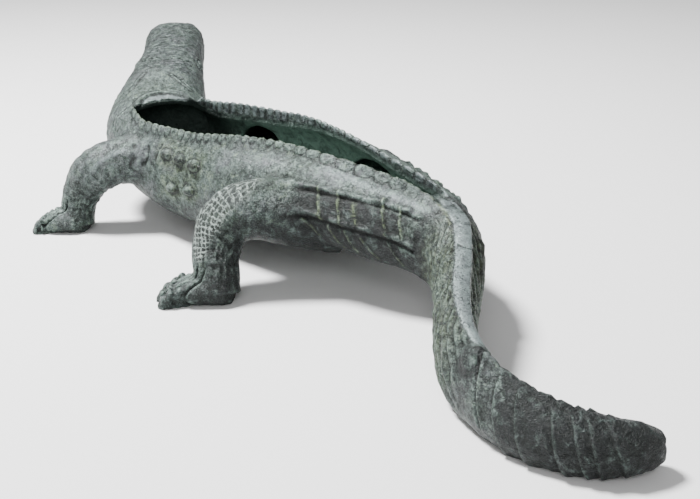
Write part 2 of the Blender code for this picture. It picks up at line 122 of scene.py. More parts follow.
# limbs from root to ankle, x, y, z and radius on the left side, and the stride of each
limbs = {
    "front": [(0.030, -0.228, 0.084, 0.036), (0.065, -0.252, 0.086, 0.033), (0.099, -0.279, 0.085, 0.029),
              (0.124, -0.297, 0.072, 0.028), (0.136, -0.307, 0.051, 0.024), (0.1435, -0.3105, 0.030, 0.021),
              (0.148, -0.309, 0.008, 0.0215)],
    "hind": [(0.030, 0.050, 0.074, 0.038), (0.070, 0.018, 0.082, 0.037), (0.105, -0.010, 0.088, 0.033),
             (0.132, -0.024, 0.079, 0.030), (0.148, -0.023, 0.057, 0.0265), (0.158, -0.015, 0.034, 0.0245),
             (0.163, -0.008, 0.008, 0.025)],
    "stride": {("left", "front"): (0, 0), ("left", "hind"): (0, 0),
               ("right", "front"): (0.050, 0), ("right", "hind"): (-0.025, 0.016)},
    "side": {"left": 1, "right": -1},
    "hollowEnd": 3.2,
}

feet = {
    "front": {"heel": (0.141, -0.297), "angle": -56, "sole": 0.043, "toes": 5, "toe": 0.029},
    "hind": {"heel": (0.1525, 0.006), "angle": -51, "sole": 0.054, "toes": 4, "toe": 0.034},
    "soleShape": [(0, 0.013, 0.016), (0.20, 0.022, 0.026), (0.55, 0.0255, 0.031), (0.90, 0.027, 0.0255),
                  (1.15, 0.022, 0.019)],
    "toeShape": [(0, 0.0085, 0.023), (0.35, 0.0078, 0.019), (0.62, 0.0088, 0.018), (0.85, 0.0062, 0.012),
                 (1, 0.002, 0.0055)],
    "spread": 46,
    "row": 0.033,
    "root": 0.83,
    "knuckles": 3.5,
}

cast = {"voxel": 0.0013, "triangles": 192000, "melt": 24}


def smoothStep(low, high, value):
    t = np.clip((value - low) / (high - low), 0, 1)
    return t * t * (3 - 2 * t)


def window(value, low, full, fall, high):
    # rises to 1 between low and full, and falls back between fall and high
    return smoothStep(low, full, value) * (1 - smoothStep(fall, high, value))


def bell(value, width):
    return np.exp(-(value / width) ** 2)


def through(rows, at):
    # smooth curve through the rows, read at the positions in at
    rows = np.asarray(rows, float)
    at = np.atleast_1d(np.asarray(at, float))
    first = np.clip(at.astype(int), 0, len(rows) - 2)
    f = at - first
    if rows.ndim == 2:
        f = f[:, None]
    padded = np.concatenate([[2 * rows[0] - rows[1]], rows, [2 * rows[-1] - rows[-2]]])
    a, b, c, d = (padded[first + k] for k in range(4))
    return 0.5 * (2 * b + (c - a) * f + (2 * a - 5 * b + 4 * c - d) * f**2 + (3 * b - a - 3 * c + d) * f**3)


def spineAt(at):
    # section sizes at landmarks, the way ahead and the way to the animal's left
    at = np.atleast_1d(np.asarray(at, float))
    rows = through(body["landmarks"], at)
    step = 0.05
    ahead = through(body["landmarks"], np.minimum(at + step, body["tip"]))
    behind = through(body["landmarks"], np.maximum(at - step, 0))
    along = ahead[:, :2] - behind[:, :2]
    along /= np.linalg.norm(along, axis=1)[:, None]
    return rows, along, np.stack([along[:, 1], -along[:, 0]], 1)


fineAt = np.linspace(0, body["tip"], 1001)
finePlace = spineAt(fineAt)[0][:, :2]
fineArc = np.concatenate([[0], np.cumsum(np.linalg.norm(np.diff(finePlace, axis=0), axis=1))])


def arcAt(at):
    return np.interp(at, fineAt, fineArc)


def turns(count):
    # even angles of one full turn
    return np.linspace(0, 2 * math.pi, count, endpoint=False)


def sections(rows, left, angles, inset=0.0, roof=0.0):
    # rings of points around the body, angles from the top towards the left
    x, y, top, bottom, half, level, power, pinch = (column[:, None] for column in rows.T)
    middle = bottom + (top - bottom) * level
    up, out = np.cos(angles)[None], np.sin(angles)[None]
    power = np.where(up >= 0, power, body["lowerSquareness"])
    rise = np.sign(up) * np.abs(up) ** (2 / power)
    offset = (half - inset) * np.sign(out) * np.abs(out) ** (2 / power)
    offset = offset * np.where(rise > 0, 1 - pinch * rise**2, 1)
    reach = np.where(rise > 0, top - inset - roof - middle, middle - bottom - inset)
    height = middle + rise * reach
    return np.stack([x + left[:, :1] * offset, y + left[:, 1:] * offset, height], -1)


def beside(rows, left, offset, height):
    # points at a distance to the left of the spine
    return np.stack([rows[:, 0] + left[:, 0] * offset, rows[:, 1] + left[:, 1] * offset, height], -1)


def backHeight(rows, offset):
    # height of the back at a distance from the spine
    top, bottom, half, level, power, pinch = rows.T[2:]
    middle = bottom + (top - bottom) * level
    share = np.clip(np.abs(offset) / half, 0, 0.999)
    rise = np.ones(len(rows))
    for _ in range(4):
        unpinched = np.clip(share / (1 - pinch * rise**2), 0, 0.999)
        rise = (1 - unpinched**power) ** (1 / power)
    return middle + rise * (top - middle)


def spreadAt(at):
    return through(opening["spread"], np.asarray(at) - 7)


pitchFine = np.interp(fineAt, opening["pitchAt"], opening["pitch"])
phaseFine = np.cumsum(np.gradient(fineArc) / pitchFine)
phaseFine -= np.interp(opening["front"], fineAt, phaseFine)


def scuteShare(at):
    # place within a scute of the rim, from 0 to 1
    return np.interp(at, fineAt, phaseFine) % 1


def lobe(share, notch):
    # rounded outline of a scute, with a sharp notch at both ends
    return notch + (1 - notch) * np.sqrt(np.clip(1 - np.abs(2 * share - 1) ** 2.4, 0, 1))


def sagOf(at):
    return np.interp(at, opening["sagAt"], opening["sag"])


def crestShare(at):
    return ((at - crest["first"]) / crest["pitch"]) % 1


def newObject(name, mesh):
    made = bpy.data.objects.new(name, mesh)
    bpy.context.scene.collection.objects.link(made)
    return made


def loft(name, rings):
    # closed skin over rings of points
    rings = np.asarray(rings, float)
    count, around = rings.shape[:2]
    i, j = np.meshgrid(np.arange(count - 1), np.arange(around), indexing="ij")
    here = i * around + j
    onward = i * around + (j + 1) % around
    quads = np.stack([here, onward, onward + around, here + around], -1).reshape(-1, 4).tolist()
    caps = [list(range(around)), list(range((count - 1) * around, count * around))]
    mesh = bpy.data.meshes.new(name)
    mesh.from_pydata(rings.reshape(-1, 3).tolist(), [], quads + caps)
    shell = bmesh.new()
    shell.from_mesh(mesh)
    bmesh.ops.recalc_face_normals(shell, faces=shell.faces)
    shell.to_mesh(mesh)
    shell.free()
    return newObject(name, mesh)


def evaluated(made, name):
    # the object with its modifiers applied, in place of the object
    depsgraph = bpy.context.evaluated_depsgraph_get()
    mesh = bpy.data.meshes.new_from_object(made.evaluated_get(depsgraph))
    bpy.data.objects.remove(made)
    return newObject(name, mesh)


def joined(name, pieces):
    # one mesh of several closed pieces
    shell = bmesh.new()
    for piece in pieces:
        shell.from_mesh(piece.data)
        bpy.data.objects.remove(piece)
    mesh = bpy.data.meshes.new(name)
    shell.to_mesh(mesh)
    shell.free()
    return newObject(name, mesh)


def melted(made, voxel):
    # overlapping pieces become one skin of small even faces
    remesh = made.modifiers.new("melt", "REMESH")
    remesh.mode = "VOXEL"
    remesh.voxel_size = voxel
    return evaluated(made, made.name)


def carve(made, cutter):
    cut = made.modifiers.new(cutter.name, "BOOLEAN")
    cut.operation = "DIFFERENCE"
    cut.solver = "MANIFOLD"
    cut.object = cutter
    made = evaluated(made, made.name)
    bpy.data.objects.remove(cutter)
    return made


def bodyPiece():
    at = np.concatenate([np.linspace(0, 0.6, 14)[:-1], np.linspace(0.6, body["tip"], 420)])
    rows, _, left = spineAt(at)
    return loft("bodyPiece", sections(rows, left, turns(96)))


def rimPiece(side):
    # scalloped rim of the opening that runs on as a ridge over the tail root
    start = opening["corner"][side] - 0.08
    at = np.linspace(start, opening["merge"], 620)
    rows, _, left = spineAt(at)
    inner = spreadAt(at)
    width = opening["width"] * np.interp(at, [7.4, 12, 15, 16.4, 19.9], [0.68, 0.95, 0.75, 0.5, 0.35])
    fade = np.interp(at, [start, start + 0.2, 14.4, 15.2, 15.8, 19.9], [0.1, 1, 1, 0.5, 0.1, 0.05])
    notch = np.interp(at, [7.4, 11.8, 13, 15], opening["notch"][side])
    rise = opening["rise"] * lobe(scuteShare(at), notch) * fade
    outer = inner + width
    base = backHeight(rows, inner) + sagOf(at) * (side < 0)
    foot = backHeight(rows, outer)
    top = base + rise
    wall = body["wall"] / 2
    offsets = [inner - wall, inner - wall, inner, inner + 0.22 * width, inner + 0.5 * width,
               inner + 0.8 * width, outer, outer]
    slope = [0, 0, 0, 0.06, 0.42, 0.85, 1.02, 1.02]
    heights = [top + (foot - top) * share for share in slope]
    heights[0] = base - opening["rise"]
    heights[1] = top - 0.0012
    heights[-1] = foot - 0.9 * body["wall"]
    rings = [beside(rows, left, side * offset, height) for offset, height in zip(offsets, heights)]
    return loft("rimPiece", np.stack(rings, 1))


def crestPiece():
    at = np.linspace(crest["first"] - 0.3, crest["end"], 260)
    rows, _, left = spineAt(at)
    fade = np.interp(at, [19.52, 19.8, 21.7, 22.0, crest["end"]], [0.3, 1, 0.9, 0.35, 0.1])
    top = rows[:, 2] + crest["rise"] * fade * lobe(crestShare(at), crest["notch"])
    half = crest["halfWidth"]
    shape = [(-1.5, -1.0), (-0.85, 0.35), (-0.5, 0.85), (0, 1), (0.5, 0.85), (0.85, 0.35), (1.5, -1.0)]
    rings = []
    for across, share in shape:
        height = np.where(share > 0, rows[:, 2] + (top - rows[:, 2]) * share, rows[:, 2] - 0.008)
        rings.append(beside(rows, left, half * across, height))
    return loft("crestPiece", np.stack(rings, 1))


def strode(kind, hand):
    # left or right limb moved along the body by its stride, with its bent middle let down
    back, drop = limbs["stride"][hand, kind]
    side = limbs["side"][hand]
    rows = np.array(limbs[kind], float)
    knee = np.clip(1 - np.abs(np.arange(len(rows)) - len(rows) // 2 + 1) / 3, 0, 1)
    rows[:, 0] *= side
    rows[:, 1] += back
    rows[:, 2] -= drop * knee
    return rows


def limbFrame(rows, at):
    # centre line of a limb with two directions across it
    at = np.atleast_1d(np.asarray(at, float))
    points = through(rows, at)
    ahead = through(rows, np.minimum(at + 0.05, len(rows) - 1)) - through(rows, np.maximum(at - 0.05, 0))
    along = ahead[:, :3] / np.linalg.norm(ahead[:, :3], axis=1)[:, None]
    first = np.array([0, 1, 0]) - along * along[:, 1:2]
    first /= np.linalg.norm(first, axis=1)[:, None]
    return points, along, first, np.cross(along, first)


def limbPiece(rows, start, end, inset=0.0):
    at = np.linspace(start, end, 70)
    points, _, first, second = limbFrame(rows, at)
    turn = turns(48)[None, :, None]
    radius = (points[:, 3] - inset)[:, None, None]
    rings = points[:, None, :3] + radius * (np.cos(turn) * first[:, None] + np.sin(turn) * second[:, None])
    return loft("limbPiece", rings)


def flatRing(centre, across, half, height, around=24):
    # low arch over the ground, as a foot or a toe is cut across
    turn = turns(around)
    middle = 0.4 * height
    rise = np.cos(turn)
    z = middle + np.where(rise > 0, rise * (height - middle), rise * (middle + 0.0020))
    sides = half * np.sign(np.sin(turn)) * np.abs(np.sin(turn)) ** 0.8
    return np.stack([centre[0] + across[0] * sides, centre[1] + across[1] * sides, z], -1)


def flatPiece(start, ahead, length, shape, side, knuckles=0):
    # sole or toe along the ground
    shape = np.array(shape)
    shares = np.linspace(0, shape[-1, 0], 36)
    sizes = through(shape, np.interp(shares, shape[:, 0], np.arange(len(shape))))
    across = np.array([-ahead[1], ahead[0]])
    rings = []
    for share, size in zip(shares, sizes):
        swell = 1 + 0.09 * math.cos(2 * math.pi * knuckles * share) * (share < 0.9) if knuckles else 1
        ring = flatRing(start + ahead * share * length, across, size[1] * swell, size[2] * swell)
        rings.append(ring * (side, 1, 1))
    return loft("flatPiece", rings)


def footWays(kind, hand):
    # heel of a foot, the way that its toes point and the way across, on the left side
    heading = math.radians(feet[kind]["angle"])
    along = np.array([math.cos(heading), math.sin(heading)])
    heel = np.array(feet[kind]["heel"]) + (0, limbs["stride"][hand, kind][0])
    return heel, along, np.array([-along[1], along[0]])


def footPieces(kind, hand):
    foot = feet[kind]
    side = limbs["side"][hand]
    heel, along, across = footWays(kind, hand)
    pieces = [flatPiece(heel, along, foot["sole"], feet["soleShape"], side)]
    for k in range(foot["toes"]):
        fan = k / (foot["toes"] - 1) - 0.5
        turn = math.radians(feet["spread"]) * fan
        ahead = along * math.cos(turn) + across * math.sin(turn)
        root = heel + along * foot["sole"] * feet["root"] + across * fan * feet["row"]
        reach = (foot["toe"] + 0.07 * foot["sole"]) * (1 - 0.5 * fan**2)
        pieces.append(flatPiece(root, ahead, reach, feet["toeShape"], side, feet["knuckles"]))
    return pieces


def openingPiece():
    rings = []
    for side, high in ((-1, False), (-1, True), (1, True), (1, False)):
        at = np.linspace(opening["corner"][side], opening["back"], 200)
        rows, _, left = spineAt(at)
        gap = spreadAt(at)
        middle = rows[:, 3] + (rows[:, 2] - rows[:, 3]) * rows[:, 5]
        height = rows[:, 2] + 0.04 if high else middle
        rings.append(beside(rows, left, gap * side, height))
    return loft("openingPiece", np.stack(rings, 1))


def stripEdges(at):
    # edges of the smooth band of the tail, as distances to the left of the spine
    return np.interp(at, strip["at"], strip["left"]), np.interp(at, strip["at"], strip["right"])


def bandPiece():
    # smooth flat band along the top of the tail
    at = np.linspace(15.0, 19.8, 240)
    rows, _, left = spineAt(at)
    outer, inner = stripEdges(at)
    lift = 0.0020 * smoothStep(15.0, 15.6, at) * (1 - 0.8 * smoothStep(19.3, 19.8, at))
    rings = []
    level = backHeight(rows, outer) + lift
    middle = (inner + outer) / 2
    for offset, drop in ((inner, 0.016), (inner, 0.0015), (middle, 0), (outer, 0), (outer, 0.012)):
        rings.append(beside(rows, left, offset, level - drop))
    return loft("bandPiece", np.stack(rings, 1))


def groundPiece():
    corners = np.array([(-1, -1), (1, -1), (1, 1), (-1, 1)])
    return loft("groundPiece", [np.column_stack([corners, np.full(4, z)]) for z in (-0.05, 0)])


def hollowPieces():
    at = np.linspace(*body["hollow"], 160)
    rows, _, left = spineAt(at)
    pieces = [loft("inside", sections(rows, left, turns(72), body["wall"], body["lip"]))]
    for hand, kind in limbs["stride"]:
        pieces.append(limbPiece(strode(kind, hand), 0.1, limbs["hollowEnd"], body["wall"]))
    return pieces


def castBlank():
    # the whole casting without its fine relief
    pieces = [bodyPiece(), rimPiece(1), rimPiece(-1), crestPiece(), bandPiece()]
    for hand, kind in limbs["stride"]:
        pieces.append(limbPiece(strode(kind, hand), 0, 6))
        pieces += footPieces(kind, hand)
    blank = melted(joined("alligatorStatue", pieces), cast["voxel"])
    print("outer skin", len(blank.data.polygons))
    hollow = melted(joined("hollow", hollowPieces()), 0.002)
    for cutter in (hollow, openingPiece(), groundPiece()):
        blank = carve(blank, cutter)
        print("carved", len(blank.data.polygons))
    return melted(blank, cast["voxel"])


def numbersOf(rows, name, columns, kind=np.float32):
    flat = np.empty(len(rows) * columns, kind)
    rows.foreach_get(name, flat)
    return flat.reshape(-1, columns)


def readPoints(mesh):
    return numbersOf(mesh.vertices, "co", 3).astype(float)


def readNormals(mesh):
    return numbersOf(mesh.vertex_normals, "vector", 3).astype(float)


def readEdges(mesh):
    return numbersOf(mesh.edges, "vertices", 2, np.int32)


def writePoints(mesh, points):
    mesh.vertices.foreach_set("co", points.astype(np.float32).ravel())
    mesh.update()


def spreadOut(values, edges, rounds, weight=None):
    # values averaged over neighbouring points, as often as rounds says
    ends = np.concatenate([edges[:, 0], edges[:, 1]])
    others = np.concatenate([edges[:, 1], edges[:, 0]])
    count = np.maximum(np.bincount(ends, minlength=len(values)), 1)
    flat = values.reshape(len(values), -1)
    for _ in range(rounds):
        total = np.stack([np.bincount(ends, column[others], len(values)) for column in flat.T], 1)
        mean = total / count[:, None]
        flat = mean if weight is None else flat + (mean - flat) * weight[:, None]
    return flat.reshape(values.shape)


def skinPlaces(points):
    # where each point lies: landmark, arc length, offset, angle from the top, depth under the skin
    coarse = np.arange(0, len(fineAt), 8)
    at = np.empty(len(points))
    for first in range(0, len(points), 20000):
        some = points[first:first + 20000, :2]
        gaps = ((some[:, None] - finePlace[None, coarse]) ** 2).sum(2)
        at[first:first + 20000] = fineAt[coarse[gaps.argmin(1)]]
    for _ in range(3):
        rows, along, left = spineAt(at)
        pace = np.interp(at, fineAt, np.gradient(fineArc, fineAt))
        at = np.clip(at + ((points[:, :2] - rows[:, :2]) * along).sum(1) / pace, 0, body["tip"])
    rows, along, left = spineAt(at)
    offset = ((points[:, :2] - rows[:, :2]) * left).sum(1)
    beyond = ((points[:, :2] - rows[:, :2]) * along).sum(1)
    top, bottom, half, level, power, pinch = rows.T[2:]
    middle = bottom + (top - bottom) * level
    above = points[:, 2] - middle
    reach = np.where(above > 0, top - middle, middle - bottom)
    rise = above / reach
    power = np.where(above > 0, power, body["lowerSquareness"])
    unpinched = offset / half / np.where(rise > 0, 1 - pinch * np.clip(rise, 0, 1) ** 2, 1)
    ratio = (np.abs(unpinched) ** power + np.abs(rise) ** power) ** (1 / power)
    radius = np.hypot(offset, above)
    return {
        "at": at,
        "arc": arcAt(at),
        "offset": offset,
        "angle": np.degrees(np.arctan2(offset / half, rise)),
        "depth": (1 / np.maximum(ratio, 0.05) - 1) * radius - np.maximum(np.abs(beyond) - 0.001, 0),
        "girth": half,
        "height": points[:, 2],
        "back": points[:, 2] - backHeight(rows, offset),
    }


def limbPlaces(points):
    # for each limb: place along it, angle around it and distance from its surface
    places = {}
    for hand, kind in limbs["stride"]:
        rows = strode(kind, hand)
        at = np.linspace(0, 6, 121)
        line, _, first, second = limbFrame(rows, at)
        near = np.linalg.norm(points[:, :2] - line[60, :2], axis=1) < 0.2
        some = points[near]
        gaps = np.linalg.norm(some[:, None] - line[None, :, :3], axis=2) - line[None, :, 3]
        best = gaps.argmin(1)
        spot = some - line[best, :3]
        angle = np.degrees(np.arctan2((spot * second[best]).sum(1), (spot * first[best]).sum(1)))
        result = {"at": -np.ones(len(points)), "angle": np.zeros(len(points)), "gap": np.ones(len(points))}
        result["at"][near] = at[best]
        result["angle"][near] = angle
        result["gap"][near] = gaps[np.arange(len(best)), best]
        turn = result["angle"] if hand == "left" else 180 - result["angle"]
        result["turn"] = (turn + 90) % 360 - 90
        places[hand, kind] = result
    return places


def noise(points, size, seed):
    # smooth random heights between about -1 and 1, in lumps of the given size
    rng = np.random.RandomState(seed)
    table = np.tile(rng.permutation(256), 2)
    slopes = rng.normal(size=(256, 3))
    slopes /= np.linalg.norm(slopes, axis=1)[:, None]
    place = points / size + 64
    cell = np.floor(place).astype(int)
    f = place - cell
    blend = f**3 * (f * (f * 6 - 15) + 10)
    total = np.zeros(len(points))
    for corner in range(8):
        step = np.array([corner & 1, corner >> 1 & 1, corner >> 2 & 1])
        c = (cell + step) & 255
        pick = table[table[table[c[:, 0]] + c[:, 1]] + c[:, 2]]
        total += (slopes[pick] * (f - step)).sum(1) * np.prod(np.where(step, blend, 1 - blend), axis=1)
    return total * 1.7


def strokeGap(skin, path, mirrored):
    # distance over the skin from a stroke drawn through landmarks and angles
    path = np.array(path, float)
    girth = spineAt(path[:, 0].mean())[0][0, 4]
    line = np.column_stack([arcAt(path[:, 0]), np.radians(path[:, 1]) * girth])
    angle = np.abs(skin["angle"]) if mirrored else skin["angle"]
    spot = np.column_stack([skin["arc"], np.radians(angle) * girth])
    gap = np.full(len(spot), 1.0)
    near = (spot[:, 0] > line[:, 0].min() - 0.02) & (spot[:, 0] < line[:, 0].max() + 0.02)
    near &= (skin["depth"] > -0.022) & (skin["depth"] < 0.004)
    some = spot[near]
    best = np.full(len(some), 1.0)
    for start, end in zip(line, line[1:]):
        run = end - start
        share = np.clip((some - start) @ run / max(run @ run, 1e-12), 0, 1)
        best = np.minimum(best, np.linalg.norm(some - start - share[:, None] * run, axis=1))
    gap[near] = best
    return gap


# carved strokes as height and width in metres, and a path through landmarks and angles from the top;
# all but the single ones are on both sides
strokes = {
    "keels": [
        (0.0042, 0.0036, [(12.5, 57), (12.94, 54), (13.4, 51), (13.9, 47), (14.4, 44), (15.0, 43),
                          (15.35, 43)]),
        (0.0042, 0.0036, [(12.8, 79), (13.15, 80), (13.6, 80), (14.2, 79), (14.7, 80), (15.5, 81)]),
    ],
    "grooves": [
        (-0.0018, 0.0024, [(12.6, 63), (12.94, 58), (13.4, 55), (13.9, 51.5), (14.4, 49), (15.0, 48),
                           (15.35, 49)]),
        (-0.0018, 0.0024, [(12.8, 86), (13.15, 85), (13.6, 85), (14.2, 84.5), (14.7, 86), (15.5, 89)]),
    ],
    "ribs": [
        (0.0018, 0.0015, [(13.08, 50), (13.32, 84)]),
        (0.0018, 0.0015, [(13.45, 47), (13.75, 83)]),
        (0.0006, 0.0010, [(13.85, 54), (14.05, 77)]),
        (0.0019, 0.0016, [(14.32, 39), (14.72, 81)]),
        (0.0018, 0.0015, [(14.78, 43), (15.17, 78)]),
    ],
    "bellyLines": [
        (0.0014, 0.0014, [(13.0, 87), (13.28, 112)]),
        (0.0014, 0.0014, [(13.45, 89), (13.74, 119)]),
        (0.0014, 0.0014, [(13.82, 89), (14.07, 121)]),
        (0.0014, 0.0014, [(14.16, 93), (14.45, 122)]),
        (0.0014, 0.0014, [(14.74, 88), (15.14, 122)]),
    ],
    "folds": [
        (-0.0016, 0.0015, [(4.66, 9), (4.72, 17), (4.60, 22), (4.68, 29), (4.55, 38)]),
        (-0.0024, 0.0029, [(8.17, 64), (8.27, 74), (8.23, 84)]),
        (-0.0022, 0.0029, [(8.52, 60), (8.60, 68), (8.47, 76)]),
        (-0.0016, 0.0028, [(8.97, 54), (8.85, 68)]),
        (0.0022, 0.0040, [(8.35, 60), (8.35, 82)]),
        (0.0022, 0.0040, [(8.72, 56), (8.66, 76)]),
        (-0.0026, 0.0014, [(19.84, 12), (19.93, 24), (20.08, 53), (20.22, 80), (20.34, 110)]),
        (0.0012, 0.0022, [(19.92, 12), (20.01, 24), (20.16, 53), (20.30, 80), (20.42, 110)]),
    ],
    "single": [
        (-0.0018, 0.0014, [(7.06, 39), (7.03, 52)]),
        (-0.0010, 0.0014, [(6.45, 36), (6.75, 50), (7.25, 64)]),
        (-0.0010, 0.0014, [(6.20, 42), (6.42, 62), (6.95, 84)]),
        (-0.0012, 0.0012, [(19.30, 26), (19.52, 18), (19.74, 2), (19.80, -16)]),
        (-0.0011, 0.0011, [(16.90, 4), (16.97, -8), (16.99, -26)]),
    ],
}

earFolds = [[(5.62, 20), (5.92, 26), (6.26, 30)], [(5.72, -15), (5.96, -24), (6.28, -38)],
            [(5.86, -30), (6.12, -40)]]

# knobs as landmark, angle, radius and height in metres, on both flanks and on the tail
knobs = {
    "flank": [(9.20, 60, 0.0066, 0.0058), (9.65, 62, 0.0074, 0.0072), (10.15, 64, 0.0080, 0.0078),
              (9.45, 88, 0.0072, 0.0066), (10.05, 86, 0.0078, 0.0072)],
    "tail": [(16.35, -58, 0.0060, 0.0030), (16.88, -58, 0.0064, 0.0032), (19.64, 27, 0.0095, 0.0042)],
}

# rings of the tail end as landmark and height
tailRings = [(20.62, 0.0013), (21.10, 0.0014), (21.82, 0.0015), (22.24, 0.0012), (22.55, 0.0013),
             (23.05, 0.0007)]


def stripShare(skin):
    # 1 on the smooth band along the top of the tail
    left, right = stripEdges(skin["at"])
    across = smoothStep(right - 0.0006, right + 0.0008, skin["offset"])
    across *= 1 - smoothStep(left - 0.0008, left + 0.0006, skin["offset"])
    across *= np.abs(skin["angle"]) < 75
    return across * window(skin["at"], 15.1, 15.4, 19.55, 19.78)


def rimSpot(skin):
    # distance from the edge of the opening, outwards, and how much a point belongs to the rim
    gap = np.abs(skin["offset"]) - spreadAt(skin["at"])
    reach = window(gap, -0.005, -0.003, 0.013, 0.017)
    reach *= window(skin["at"], 7.2, 7.4, 16.0, 16.8)
    return gap, reach * smoothStep(-0.006, -0.001, skin["back"])


def plateEdge(skin, gap):
    # distance from the rounded lower edge of the rim's plates, and their arch from 0.25 to 1
    arch = lobe(scuteShare(skin["at"]), 0.25)
    return gap - np.interp(skin["at"], opening["plateAt"], opening["plate"]) * arch, arch


def skullArc(skin):
    # growing ellipses round the crescent behind the skull, 1 at its own edge, and 1 before the opening
    ahead = (skin["arc"] - arcAt(ledge["centre"])) / ledge["reach"]
    front = smoothStep(7.45, 7.3, skin["at"]) * (np.abs(skin["angle"]) < 70)
    return np.hypot(ahead, skin["offset"] / ledge["halfWidth"]), front


def innerShare(skin, limbSkin):
    # 1 on the walls of the hollow
    hollow = (skin["at"] > body["hollow"][0] - 0.2) & (skin["at"] < body["hollow"][1] + 0.2)
    depth = np.where(hollow, skin["depth"], -1)
    for place in limbSkin.values():
        within = place["at"] < limbs["hollowEnd"] + 0.3
        depth = np.maximum(depth, np.where(within, -place["gap"] - 0.0012, -1))
    return smoothStep(0.0020, 0.0039, depth)


def relief(points, skin, limbSkin):
    # height of the fine carving over the blank, in metres
    at, angle, arc, girth = skin["at"], skin["angle"], skin["arc"], skin["girth"]
    bodyGap = -skin["depth"]
    inside = innerShare(skin, limbSkin)
    onBody = 1 - smoothStep(0.004, 0.012, bodyGap)
    flat = np.column_stack([arc, np.radians(angle) * girth, np.zeros(len(arc))])
    rough = noise(points, 0.0075, 1) + 0.6 * noise(points, 0.0040, 2)
    height = 0.00060 * rough * (1 - 0.75 * stripShare(skin))

    lumps = 0.60 + 0.75 * noise(flat * (1, 0, 0) + (0, 0.31, 0), 0.012, 3)
    for name, group in strokes.items():
        for rise, width, path in group:
            gap = strokeGap(skin, path, name != "single")
            height += rise * (lumps if name == "keels" else 1) * bell(gap, width)
    for path in earFolds:
        gap = strokeGap(skin, path, False)
        height += 0.0011 * bell(gap, 0.0018) - 0.0005 * bell(gap - 0.0036, 0.0018)
    for name, group in knobs.items():
        for where, turn, radius, rise in group:
            gap = strokeGap(skin, [(where - 0.02, turn), (where + 0.05, turn)], name == "flank")
            height += rise * np.clip(1 - (gap / radius) ** 2, 0, 1) ** 0.85

    # skull: arc behind it, brows, wrinkles across the snout
    around, front = skullArc(skin)
    height += front * (0.0016 * bell(around - 1.17, 0.10) - 0.0012 * bell(around - 1.36, 0.08))
    height -= front * ledge["depth"] * smoothStep(1.06, 1.0, around)
    brow = strokeGap(skin, [(3.6, 44), (4.3, 42), (4.6, 46)], True)
    eye = strokeGap(skin, [(4.05, 62), (4.10, 62)], True)
    nostril = strokeGap(skin, [(0.85, 30), (0.95, 34)], True)
    height += 0.0020 * bell(brow, 0.0060) + 0.0034 * np.sqrt(np.clip(1 - (eye / 0.0078) ** 2, 0, 1))
    height += 0.0016 * bell(eye - 0.0105, 0.0016) - 0.0014 * bell(eye - 0.0080, 0.0010)
    height += 0.0014 * bell(nostril - 0.0048, 0.0018) - 0.0024 * bell(nostril, 0.0024)
    snout = window(at, 0.9, 1.8, 4.9, 5.6) * (np.abs(angle) < 95)
    warped = flat + 0.002 * noise(points, 0.012, 4)[:, None] * (1, 0, 0)
    height += 0.00075 * snout * noise(warped * (1, 0.28, 1), 0.0042, 5)
    mouth = strokeGap(skin, [(0.0, 97), (1.5, 95), (2.6, 99), (3.6, 96), (5.0, 101)], True)
    height += (0.0010 * bell(mouth - 0.0028, 0.0016) - 0.0022 * bell(mouth, 0.0013)) * (at < 5.2)

    # rim: plates with a rounded lower edge, edge beads
    gap, rim = rimSpot(skin)
    edge, arch = plateEdge(skin, gap)
    worn = (0.6 + 0.5 * noise(points, 0.02, 14)) * smoothStep(14.9, 14.0, at)
    height += rim * worn * (0.0008 * arch * (edge < 0) - 0.0012 * bell(edge, 0.0012))
    height += 0.0004 * rim * noise(flat * (1, 0.6, 1), 0.0065, 15) * smoothStep(0.003, 0.007, gap)
    rope = rim * bell(gap + 0.0015, 0.0035) * (angle < 0)
    rope *= smoothStep(0.0026, 0.0048, skin["back"] - sagOf(at))
    height += 0.0026 * rope * (arch - 0.75)

    # tail: smooth band on top, wrinkles down its sides, rings of the blunt end
    band = stripShare(skin)
    left, right = stripEdges(at)
    span = window(at, 15.3, 15.9, 19.5, 19.75)
    side = skin["offset"] > (left + right) / 2
    border = np.where(side, skin["offset"] - left - 0.0010, right - 0.0014 - skin["offset"])
    height -= np.where(side, 0.0008, 0.0010) * bell(border + 0.0016, 0.0012) * span * (np.abs(angle) < 75)
    flow = flat[:, 1] * np.sign(angle) - 0.48 * (arc - arcAt(17))
    bend = 0.0016 * noise(points, 0.02, 6)
    wave = np.sin(2 * math.pi * (flow + 1.8 * bend) / 0.0088)
    wrinkled = window(at, 15.9, 16.9, 19.2, 19.8) * (1 - band) * (np.abs(angle) < 150)
    height += 0.0022 * wrinkled * wave * (0.7 + 0.4 * noise(points, 0.014, 7))
    stem = window(at, 14.9, 15.7, 16.4, 17.2) * (1 - band) * (np.abs(angle) < 120)
    height += 0.0011 * stem * noise(flat * (0.8, 0.6, 1) + 0.5, 0.0100, 8)
    for where, rise in tailRings:
        slant = at - where - 0.0035 * (np.abs(angle) - 60)
        step = smoothStep(-0.02, 0.0, slant) * np.exp(-np.clip(slant, 0, 9) / 0.22)
        height += rise * (2.0 * step - 0.45 * bell(slant + 0.06, 0.05)) * smoothStep(8, 26, np.abs(angle))
    endFace = strokeGap(skin, [(24.1, 70), (24.8, 60)], False)
    height -= 0.0010 * bell(endFace, 0.006)

    height *= np.maximum(onBody, 0.25) * (1 - inside)

